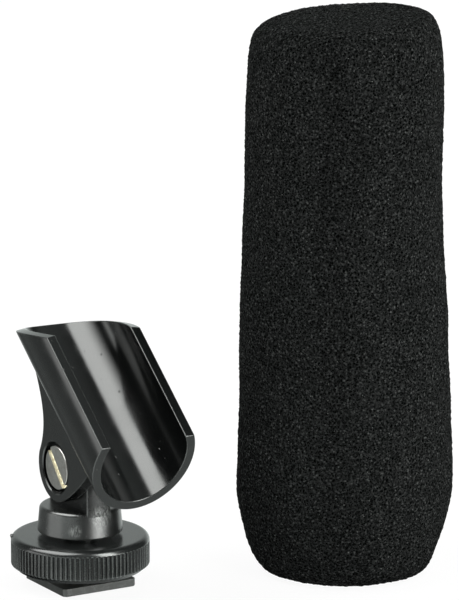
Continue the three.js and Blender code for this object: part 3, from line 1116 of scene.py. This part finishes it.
@dataclass
class Clip:
    """The open tube that holds the microphone, on two ears. It is drawn with the pivot at the origin."""

    radius: float = 12.69 * MM
    wall: float = 2.09 * MM
    from_pivot: float = 24.12 * MM
    lip_rise: float = 5.05 * MM
    front_spine: float = 21.75 * MM
    front_lip: float = 16.73 * MM
    rear_spine: float = 30.67 * MM
    rear_lip: float = 14.56 * MM
    rear_bulge: float = 0.97 * MM
    rear_inner_lead: float = 0.5 * MM
    rear_skew: float = 0.35 * MM
    edge: float = 0.21 * MM
    ear_inside: float = 3.3 * MM
    ear_outside: float = 6.3 * MM
    ear_edge: float = 0.2 * MM
    boss: float = 7.8 * MM
    open_angle: float = math.radians(20)
    root_share: float = 0.9
    front_share: float = 0.51
    rear_share: float = 0.88
    front_pull_shares: tuple[Point, ...] = ((-1.25, 0.33),)
    rear_pull_shares: tuple[Point, ...] = ((1.14, 0.76), (1.92, 1.1))
    slot_top: float = 9.48 * MM
    counterbore: float = 5.85 * MM
    counterbore_floor: float = 4.25 * MM
    mouth: float = 0.22 * MM
    around: int = 112
    along: int = 14
    edge_steps: int = 5
    inner_steps: int = 7
    ear_steps: tuple[int, int, int] = (56, 28, 24)
    slope_step: float = 10 * MICRON
    crease: float = 30

    def core(self) -> tuple[np.ndarray, np.ndarray]:
        """The tube's section, drawn in by its edge radius.

        Returns:
            The section's points in X and Z, and at each the way that the surface faces. A corner has several.
        """
        lip = self.lip_rise - self.edge
        outer, inner = self.radius - self.edge, self.radius - self.wall + self.edge
        outer_lip, inner_lip = math.asin(lip / outer), math.asin(lip / inner)
        outer_x, inner_x = outer * math.cos(outer_lip), inner * math.cos(inner_lip)
        quarter, half, full = math.pi / 2, math.pi, math.tau
        outside = np.linspace(half - outer_lip, full + outer_lip, self.around + 1)
        inside = np.linspace(full + inner_lip, half - inner_lip, self.around + 1)
        edge, rim = self.edge_steps, self.inner_steps
        faces = [
            *((outer * math.cos(a), outer * math.sin(a), a) for a in outside),
            *((outer_x, lip, a + full) for a in np.linspace(outer_lip, quarter, edge + 1)[1:]),
            *((inner_x, lip, a + full) for a in np.linspace(quarter, half + inner_lip, rim + 1)[:-1]),
            *((inner * math.cos(a), inner * math.sin(a), a + half) for a in inside),
            *((-inner_x, lip, a) for a in np.linspace(-inner_lip, quarter, rim + 1)[1:]),
            *((-outer_x, lip, a) for a in np.linspace(quarter, half - outer_lip, edge + 1)[:-1]),
        ]
        rows = np.array(faces)
        return rows[:, :2], np.stack([np.cos(rows[:, 2]), np.sin(rows[:, 2])], axis=1)

    def front_reach(self, x: np.ndarray, z: np.ndarray) -> np.ndarray:
        """How far the front's straight cut reaches along Y at points of the section, whatever their X."""
        climb = (z + self.radius) / (self.lip_rise + self.radius)
        return -(self.front_spine + (self.front_lip - self.front_spine) * climb)

    def rear_reach(self, x: np.ndarray, z: np.ndarray) -> np.ndarray:
        """How far the rear's arched cut reaches along Y at points of the section."""
        climb = (z + self.radius) / (self.lip_rise + self.radius)
        share = (self.radius - np.hypot(x, z)) / self.wall
        slope = self.rear_spine + (self.rear_lip - self.rear_spine) * climb
        arch = self.rear_bulge * 4 * climb * (1 - climb)
        return slope + arch + self.rear_inner_lead * share - self.rear_skew * x / self.radius

    def end_rings(self, reach: Callable[[np.ndarray, np.ndarray], np.ndarray], sign: int) -> list[np.ndarray]:
        """The rings that round one end of the tube, from its face out to its sides.

        Args:
            reach: How far the end's cut reaches at points of the section.
            sign: -1 at the front and 1 at the rear.

        Returns:
            The rings.
        """
        core, ways = self.core()
        x, z = core[:, 0], core[:, 1]
        step = self.slope_step
        slopes = [
            (reach(x + step, z) - reach(x - step, z)) / (2 * step),
            (reach(x, z + step) - reach(x, z - step)) / (2 * step),
        ]
        faces = np.stack([-slopes[0], np.ones(len(x)), -slopes[1]], axis=1) * sign
        faces /= np.linalg.norm(faces, axis=1, keepdims=True)
        outward = np.stack([ways[:, 0], np.zeros(len(ways)), ways[:, 1]], axis=1)
        place = np.stack([x, reach(x, z) - self.edge / faces[:, 1], z], axis=1)
        rings = []
        for turn in np.linspace(math.pi / 2, 0, self.edge_steps + 1):
            way = outward * math.cos(turn) + faces * math.sin(turn)
            rings.append(place + self.edge * way / np.linalg.norm(way, axis=1, keepdims=True))
        return rings

    def cap(self, skin: Skin, ring: range) -> None:
        """Closes one end of the tube between its outer and its inner arc."""
        inner = self.around + 1 + self.edge_steps + self.inner_steps
        for i in range(self.around):
            across = inner + self.around - i
            skin.faces.append((ring[i], ring[i + 1], ring[across - 1], ring[across]))

    def tube(self) -> Piece:
        """Makes the tube, whose every edge is a true round."""
        front = self.end_rings(self.front_reach, -1)
        rear = self.end_rings(self.rear_reach, 1)[::-1]
        shares = np.linspace(0, 1, self.along + 1)[1:-1]
        middle = [front[-1] * (1 - share) + rear[0] * share for share in shares]
        skin = Skin()
        numbers = skin.loft([*front, *middle, *rear])
        self.cap(skin, numbers[0])
        self.cap(skin, numbers[-1])
        tube = skin.made("clip_moulding")
        tube.data.transform(Matrix.Translation((0, 0, self.from_pivot)))
        return tube

    def ear_outline(self) -> list[Point]:
        """The ears' side outline in Y and Z, a round boss that flares out to the tube."""
        boss = self.boss
        root = self.from_pivot - self.radius + self.wall * self.root_share
        side, drop = boss * math.cos(self.open_angle), boss * math.sin(self.open_angle)
        rear = [(boss * y, boss * z) for y, z in self.rear_pull_shares]
        front = [(boss * y, boss * z) for y, z in self.front_pull_shares]
        rear_root = (self.rear_spine * self.rear_share, root)
        front_root = (-self.front_spine * self.front_share, root)
        boss_steps, rear_steps, front_steps = self.ear_steps
        return [
            *arc((0, 0), boss, math.pi + self.open_angle, math.tau - self.open_angle, boss_steps),
            *sweep([(side, -drop), *rear, rear_root], rear_steps),
            front_root,
            *sweep([front_root, *front, (-side, -drop)], front_steps)[:-1],
        ]

    def ears(self) -> Piece:
        """Makes both ears, with the slot for the tongue between them."""
        ears = plate("ears", self.ear_outline(), -self.ear_outside, self.ear_outside, self.ear_edge, SIDEWAYS)
        gap = box_outline(-self.rear_spine, self.rear_spine, -self.boss - OVERRUN, self.slot_top)
        slot = plate("slot", gap, -self.ear_inside, self.ear_inside, matrix=SIDEWAYS)
        return work(ears, slot, Join.CUT)

    def holes(self) -> list[Piece]:
        """Makes the tools for the pivot's bore, the head's counterbore and the nut's pocket."""
        face, floor = self.ear_outside, self.counterbore_floor
        bore = turned("bore", [(PIVOT.bore, -face - OVERRUN), (PIVOT.bore, face + OVERRUN)], COARSE, ALONG_X)
        head = turned("head_hole", [
            (self.counterbore + self.mouth + OVERRUN, -face - OVERRUN),
            (self.counterbore, -face + self.mouth),
            (self.counterbore, -floor),
        ], FINE, ALONG_X)
        hexagon = polygon(PIVOT.nut_corner() + CLEARANCE, 6)
        pocket = plate("nut_pocket", hexagon, floor, face + OVERRUN, matrix=ALONG_X)
        return [bore, head, pocket]

    def build(self) -> list[Piece]:
        """Makes the clip and sets it at its tilt on the pivot."""
        clip = self.tube()
        work(clip, self.ears(), Join.ADD)
        for tool in self.holes():
            work(clip, tool, Join.CUT)
        clip.data.transform(PIVOT.place())
        polished(clip, self.crease)
        return [dressed(clip, "clip_body", "clip", Slot.GLOSS, GLOSS.material())]


@dataclass
class PivotFixings:
    """The slotted pivot screw and the nut in the far ear. Both are drawn along X at the pivot."""

    shank: float = 2.5 * MM
    shank_columns: int = 48
    pitch: float = 0.8 * MM
    head: float = 4.96 * MM
    head_face: float = 6.05 * MM
    head_thickness: float = 1.5 * MM
    head_edge: float = 0.14 * MM
    slot_width: float = 1.5 * MM
    slot_depth: float = 0.75 * MM
    slot_turn: float = math.radians(9.5)
    nut_start: float = 4.55 * MM
    nut_end: float = 7.25 * MM
    past_nut: float = 0.35 * MM
    crease: float = 32

    def screw(self) -> Piece:
        """Makes the screw, whose slot is cut through the plate to the brass."""
        face, edge = -self.head_face, self.head_edge
        rear = face + self.head_thickness
        head = turned("pivot_screw_head", [
            (self.head - 2 * edge, face),
            (self.head - edge / 2, face + edge / 3),
            (self.head, face + edge),
            (self.head, rear - edge / 2),
            (self.head - edge / 2, rear),
        ], FINE, ALONG_X)
        thread = Thread(self.shank, self.pitch, self.shank_columns)
        work(head, thread.rod("shank", rear - edge, self.nut_end + self.past_nut, ALONG_X), Join.ADD)
        half, reach = self.slot_width / 2, self.head + OVERRUN
        floor = face + self.slot_depth
        slot = plate("slot", box_outline(-reach, reach, -half, half), face - OVERRUN, floor, matrix=SIDEWAYS)
        slot.data.transform(Matrix.Rotation(self.slot_turn, 4, "X"))
        return work(head, slot, Join.CUT)

    def bare_slot(self, screw: Piece) -> None:
        """Gives the slot's walls and floor the second finish."""
        turn = Matrix.Rotation(-self.slot_turn, 3, "X")
        half, floor = self.slot_width / 2, self.slot_depth - self.head_face
        for side in screw.data.polygons:
            middle = turn @ side.center
            if abs(middle.z) < half + MICRON and -self.head_face + MICRON < middle.x < floor + MICRON:
                side.material_index = 1

    def nut(self) -> Piece:
        """Makes the hexagon nut, chamfered at its corners."""
        corner, start, end = PIVOT.nut_corner(), self.nut_start, self.nut_end
        nut = plate("pivot_nut_hexagon", polygon(corner, 6), start, end)
        rim = corner - PIVOT.nut_across / 2
        cone = turned("cone", chamfered(corner + rim, start, end, rim, 2 * rim), MIDDLING)
        work(nut, cone, Join.KEEP)
        mouth = PIVOT.bore / 6
        bore = turned("bore", [
            (PIVOT.bore, start - OVERRUN),
            (PIVOT.bore, end - mouth),
            (PIVOT.bore + mouth + OVERRUN, end + OVERRUN),
        ], COARSE)
        work(nut, bore, Join.CUT)
        nut.data.transform(ALONG_X)
        return nut

    def build(self) -> list[Piece]:
        """Makes the screw and the nut and sets both on the pivot."""
        screw, nut = self.screw(), self.nut()
        dressed(screw, "screw", "pivot_screw", Slot.NICKEL, NICKEL.material(), BRASS.material())
        self.bare_slot(screw)
        dressed(nut, "clip_body", "pivot_nut", Slot.STEEL, STEEL.material())
        for made in (screw, nut):
            made.data.transform(PIVOT.place())
            polished(made, self.crease)
        return [screw, nut]


@dataclass
class Windscreen:
    """The foam sleeve, standing on its open end, with its closed top leaning a little."""

    base_radius: float = 17.4 * MM
    flare_radius: float = 24.45 * MM
    flare_level: float = 21 * MM
    waist_radius: float = 21.95 * MM
    waist_level: float = 98 * MM
    shoulder_level: float = 117 * MM
    height: float = 127 * MM
    top_radius: float = 16.5 * MM
    bore: float = 9.5 * MM
    bore_depth: float = 108 * MM
    top_tilt: float = math.radians(3.3)
    high_side: float = math.radians(-30.5)
    base_pull_shares: Point = (0.46, 0.5)
    flare_pull_shares: Point = (0.33, 0.74)
    edge_pull_shares: Point = (0.6, 0.6)
    columns: int = 288
    row_height: float = 0.5 * MM
    bore_rows: int = 28
    line_steps: tuple[int, int, int] = (60, 120, 40)
    cut_levels: tuple[float, ...] = (
        0, 3, 5, 9, 13, 17, 22, 27, 37, 47, 57, 67, 77, 87, 97, 107, 113, 117, 120, 124, 126, 127,
    )
    cut_wider: tuple[float, ...] = (
        0.45, 0.04, -0.19, -0.33, -0.06, 0.25, 0.11, -0.02, -0.19, -0.1, 0.19, 0.18, 0.1, 0.13, 0.3,
        0.36, 0.12, -0.11, -0.23, 0.03, -0.15, -0.6,
    )
    cut_drift: tuple[float, ...] = (
        0.1, -0.26, -0.36, -0.28, -0.19, -0.1, -0.05, 0, 0, -0.17, -0.3, -0.5, -0.59, -0.63, -0.54,
        -0.35, -0.28, -0.33, -0.38, -0.3, 0.1, 0.3,
    )
    lumps: float = 0.22 * MM
    grit: float = 0.2 * MM
    lump_size: float = 9 * MM
    pore_depth: float = 0.26 * MM
    pore_size: float = 1.05 * MM
    pore_reach: float = 0.75
    grit_share: float = 0.5

    def __post_init__(self) -> None:
        """Works out the ways round the sleeve, the way that its top climbs and the place where it stands."""
        angles = np.linspace(0, math.tau, self.columns, endpoint=False)
        self.ways = np.stack([np.cos(angles), np.sin(angles)], axis=1)
        self.climb = np.array([math.cos(self.high_side), math.sin(self.high_side)])
        low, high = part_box("windscreen")
        self.centre = Vector(((low.x + high.x) / 2, (low.y + high.y) / 2, low.z))

    def outside(self) -> list[Point]:
        """The outside's radius and height from the base up, at an even step."""
        foot, flare = (self.base_radius, 0.0), (self.flare_radius, self.flare_level)
        waist, shoulder = (self.waist_radius, self.waist_level), (self.waist_radius, self.shoulder_level)
        top = (self.top_radius, self.height)
        foot_out = foot[0] + (flare[0] - foot[0]) * self.base_pull_shares[0]
        flare_down = flare[1] * (1 - self.base_pull_shares[1])
        rise = waist[1] - flare[1]
        edge_up = shoulder[1] + (top[1] - shoulder[1]) * self.edge_pull_shares[0]
        edge_out = top[0] + (shoulder[0] - top[0]) * self.edge_pull_shares[1]
        foot_steps, side_steps, top_steps = self.line_steps
        line = [
            foot,
            *sweep([foot, (foot_out, 0), (flare[0], flare_down), flare], foot_steps),
            *sweep([
                flare,
                (flare[0], flare[1] + rise * self.flare_pull_shares[0]),
                (waist[0], flare[1] + rise * self.flare_pull_shares[1]),
                waist,
            ], side_steps),
            *sweep([shoulder, (shoulder[0], edge_up), (edge_out, top[1]), top], top_steps),
            (0.0, self.height),
        ]
        points = np.array(line)
        run = np.concatenate([[0], np.cumsum(np.linalg.norm(np.diff(points, axis=0), axis=1))])
        even = np.linspace(0, run[-1], round(run[-1] / self.row_height) + 1)
        return list(zip(np.interp(even, run, points[:, 0]), np.interp(even, run, points[:, 1])))

    def inside(self) -> list[Point]:
        """The bore's radius and height, from the middle of its roof to its mouth."""
        rows = [(self.bore, level) for level in np.linspace(self.bore_depth, 0, self.bore_rows)]
        return [(0.0, self.bore_depth), (self.bore / 2, self.bore_depth), *rows]

    def leaning(self, radius: float, level: float) -> np.ndarray:
        """A ring, which leans the more the nearer it is to the top."""
        share = min(1.0, max(0.0, (level - self.bore_depth) / (self.height - self.bore_depth)))
        share = share * share * (3 - 2 * share)
        heights = level + radius * (self.ways @ self.climb) * math.tan(self.top_tilt) * share
        return np.column_stack([radius * self.ways, heights])

    def roughened(self, points: np.ndarray, outward: np.ndarray) -> np.ndarray:
        """Moves the surface in and out as cut foam does.

        Args:
            points: The ring's points, measured from the sleeve's axis.
            outward: The way that the surface faces at each.

        Returns:
            The moved points.
        """
        moved = points.copy()
        for i, (x, y, z) in enumerate(points):
            spot = Vector((x, y, z)) + self.centre
            lump = noise.noise(spot / self.lump_size)
            pore = noise.voronoi(spot / self.pore_size)[0][0]
            fine = noise.noise(spot / (self.grit_share * self.pore_size))
            depth = self.lumps * lump - self.pore_depth * max(0.0, self.pore_reach - pore) + self.grit * fine
            moved[i] += outward[i] * depth
        return moved

    def cut(self, ring: np.ndarray, radius: float, level: float, slope: np.ndarray) -> np.ndarray:
        """Gives a ring of the outside the skin and the slight bends of cut foam.

        Args:
            ring: The ring's points.
            radius: Its radius.
            level: Its height.
            slope: How the outside's radius and height change there.

        Returns:
            The moved points.
        """
        slope = slope / np.linalg.norm(slope)
        outward = np.column_stack([self.ways * slope[1], np.full(self.columns, -slope[0])])
        ring = self.roughened(ring, outward)
        wider, drift = (
            np.interp(level / MM, self.cut_levels, cut) * MM for cut in (self.cut_wider, self.cut_drift)
        )
        ring[:, :2] += self.ways * wider * min(1.0, radius / self.top_radius) + self.climb * drift
        return ring

    def build(self) -> list[Piece]:
        """Makes the foam sleeve."""
        inside, outside = self.inside(), self.outside()
        slopes = np.gradient(np.array(outside), axis=0)
        rings = []
        for number, (radius, level) in enumerate([*inside, *outside], -len(inside)):
            if radius < MICRON:
                rings.append(axis_point(level))
                continue
            ring = self.leaning(radius, level)
            if number >= 0:
                ring = self.cut(ring, radius, level, slopes[number])
            ring[:, 2] = np.maximum(ring[:, 2], 0)
            rings.append(ring)
        skin = Skin()
        skin.loft(rings)
        sleeve = skin.made("foam_windscreen", Matrix.Translation(self.centre))
        sleeve.data.shade_smooth()
        dressed(sleeve, "windscreen_body", "windscreen", Slot.FOAM, FOAM.material())
        return [sleeve]


def heading(azimuth: float, elevation: float) -> Vector:
    """The way to a place in the room, in degrees. Azimuth 0 is in front of the object and 90 at its right."""
    side, rise = math.radians(azimuth), math.radians(elevation)
    return Vector((math.sin(side) * math.cos(rise), -math.cos(side) * math.cos(rise), math.sin(rise)))


@dataclass(frozen=True)
class Softbox:
    """A soft rectangular lamp that faces a point on the object.

    Its place is its azimuth and elevation in degrees and its distance, and its size is its width and height.
    """

    name: str
    place: Triple
    size: Point
    radiance: float
    lights_matt: bool = True
    shows_in_gloss: bool = True
    fades: Triple | None = None
    tint: Colour = (0.975, 1, 0.975)
    aim: Triple = (0, 0, 0.04)

    def fade(self, lamp: bpy.types.Light) -> None:
        """Fades the lamp out towards its foot, its top and its sides, over shares of its height and width."""
        foot, top, sides = self.fades
        bench = Bench(lamp)
        split = bench.line_up(
            bench.add("ShaderNodeSeparateXYZ"), bench.add("ShaderNodeNewGeometry").outputs["Parametric"]
        )
        across, up = split.outputs[:2]
        from_middle = bench.sum("ABSOLUTE", bench.sum("SUBTRACT", across, 0.5))
        level = bench.sum("MULTIPLY", bench.ease(up, 0, foot), bench.ease(up, 1, 1 - top))
        strength = bench.sum("MULTIPLY", level, bench.ease(from_middle, 0.5, 0.5 - sides))
        glow = bench.fill(bench.add("ShaderNodeEmission"), Strength=strength)
        bench.fill(bench.add("ShaderNodeOutputLight"), Surface=glow.outputs[0])

    def build(self) -> Piece:
        """Makes the lamp."""
        azimuth, elevation, distance = self.place
        width, height = self.size
        lamp = bpy.data.lights.new(self.name, "AREA")
        lamp.shape = "RECTANGLE"
        lamp.size, lamp.size_y = width, height
        lamp.energy = self.radiance * math.pi * width * height
        lamp.color = self.tint
        if self.fades:
            self.fade(lamp)
        made = bpy.data.objects.new(self.name, lamp)
        bpy.context.scene.collection.objects.link(made)
        way = heading(azimuth, elevation)
        made.location = Vector(self.aim) + way * distance
        made.rotation_euler = way.to_track_quat("Z", "Y").to_euler()
        made.visible_camera = False
        made.visible_diffuse = self.lights_matt
        made.visible_glossy = self.shows_in_gloss
        return made


LAMPS = (
    Softbox("key_softbox", (-96, 54, 0.85), (1.0, 0.92), 9.4, lights_matt=False, fades=(0.5, 0.14, 0.1)),
    Softbox("left_low_softbox", (-103, -3, 1.0), (0.89, 0.8), 3, lights_matt=False, fades=(0.75, 0.19, 0.1)),
    Softbox("floor_glow", (30, -3, 1.0), (0.46, 0.25), 6, lights_matt=False),
    Softbox("front_softbox", (17, 22, 1.0), (0.46, 1.0), 15, lights_matt=False),
    Softbox("front_fill", (17, 22, 1.0), (0.46, 1.0), 10, shows_in_gloss=False),
    Softbox("top_fill", (-120, 52, 1.2), (1.0, 1.0), 2.7, shows_in_gloss=False),
    Softbox("right_fill", (85, 35, 1.2), (0.8, 0.8), 3, shows_in_gloss=False),
    Softbox("rim_fill", (132, 28, 1.2), (0.5, 0.6), 2.6, shows_in_gloss=False),
)


@dataclass
class Studio:
    """The camera at the photograph's angle, a pale floor, soft lamps and the room round them.

    Each pool of light that gloss shows has an azimuth and an elevation in degrees and a brightness.
    """

    target: Triple = (0.02895, -0.01708, 0.06536)
    azimuth: float = math.radians(30.54)
    elevation: float = math.radians(13.46)
    distance: float = 1.2003
    lens: float = 323.2
    clips: Point = (0.05, 50)
    floor_side: float = 8.0
    floor_drop: float = 0.2 * MM
    white: float = 0.93
    paper: float = 0.8
    shade_share: float = 0.09
    pools: tuple[Triple, ...] = (
        (-60, -35, 2.3), (-100, -35, 0.75), (-145, -5, 0.32), (155, 12, 0.75), (115, -22, 1.15),
        (30, -35, 0.4), (50, -72, 0.6), (-20, 35, 0.5), (80, 60, 0.35),
    )
    pool_edge: float = math.cos(math.radians(45))
    gloss_tint: Colour = (0.93, 1, 0.97)
    ambient: float = 0.33

    def view_way(self) -> Vector:
        """The way that the camera looks."""
        flat, rise = math.cos(self.elevation), math.sin(self.elevation)
        return Vector((math.sin(self.azimuth) * flat, math.cos(self.azimuth) * flat, -rise))

    def camera(self) -> None:
        """Sets the camera."""
        data = bpy.data.cameras.new("camera")
        data.lens = self.lens
        data.clip_start, data.clip_end = self.clips
        camera = bpy.data.objects.new("camera", data)
        bpy.context.scene.collection.objects.link(camera)
        camera.location = Vector(self.target) - self.view_way() * self.distance
        camera.rotation_euler = self.view_way().to_track_quat("-Z", "Y").to_euler()
        bpy.context.scene.camera = camera

    def floor(self) -> None:
        """Lays the floor, which is white to the camera but for a faint shadow, and isn't there for gloss."""
        half = self.floor_side / 2
        skin = Skin()
        corners = skin.ring(np.array([[x, y, 0] for x, y in box_outline(-half, half, -half, half)]))
        skin.lid(corners)
        floor = skin.made("floor")
        floor.location.z = -self.floor_drop
        floor.visible_glossy = False
        floor.visible_shadow = False
        bench = Bench(bpy.data.materials.new("paper_floor"))
        seen = bench.add("ShaderNodeLightPath").outputs["Is Camera Ray"]
        glow = bench.fill(bench.add("ShaderNodeEmission"), Strength=bench.sum("MULTIPLY", seen, self.white))
        colour = bench.tint(seen, (self.paper,) * 3, (self.shade_share,) * 3)
        paper = bench.fill(bench.add("ShaderNodeBsdfDiffuse"), Color=colour)
        both = bench.line_up(bench.add("ShaderNodeAddShader"), glow.outputs[0], paper.outputs[0])
        bench.fill(bench.add("ShaderNodeOutputMaterial"), Surface=both.outputs[0])
        floor.data.materials.append(bench.owner)

    def mirrored_room(self, bench: Bench) -> Socket:
        """What gloss shows of the room in each direction: soft pools of light on its walls and its floor."""
        shine: Socket | float = 0.0
        for azimuth, elevation, bright in self.pools:
            facing = bench.vectors("DOT_PRODUCT", bench.way, heading(azimuth, elevation))
            shine = bench.sum("ADD", shine, bench.ease(facing, self.pool_edge, 1, 0, bright))
        return shine

    def room_light(self) -> None:
        """Lights the room, as white where the camera looks."""
        world = bpy.data.worlds.new("room")
        bpy.context.scene.world = world
        bench = Bench(world)
        light = bench.add("ShaderNodeLightPath").outputs
        seen = bench.sum("MAXIMUM", light["Is Camera Ray"], light["Is Transmission Ray"])
        unseen = bench.between(light["Is Glossy Ray"], self.ambient, self.mirrored_room(bench))
        glow = bench.fill(
            bench.add("ShaderNodeBackground"),
            Color=bench.tint(light["Is Glossy Ray"], (1, 1, 1), self.gloss_tint),
            Strength=bench.between(seen, unseen, 1.0),
        )
        bench.fill(bench.add("ShaderNodeOutputWorld"), Surface=glow.outputs[0])

    def build(self) -> None:
        """Sets up everything round the object."""
        bpy.context.scene.view_settings.view_transform = "Standard"
        self.camera()
        self.floor()
        self.room_light()
        for lamp in LAMPS:
            lamp.build()


def main() -> None:
    logging.basicConfig(level=logging.INFO, format="%(name)s: %(message)s")
    Studio().build()
    for part in (ShoeFoot(), ThreadedStud(), Thumbwheel(), PivotBase(), Clip(), PivotFixings(), Windscreen()):
        for piece in part.build():
            LOG.info("%s has %d faces", piece.name, len(piece.data.polygons))


if __name__ == "__main__":
    main()
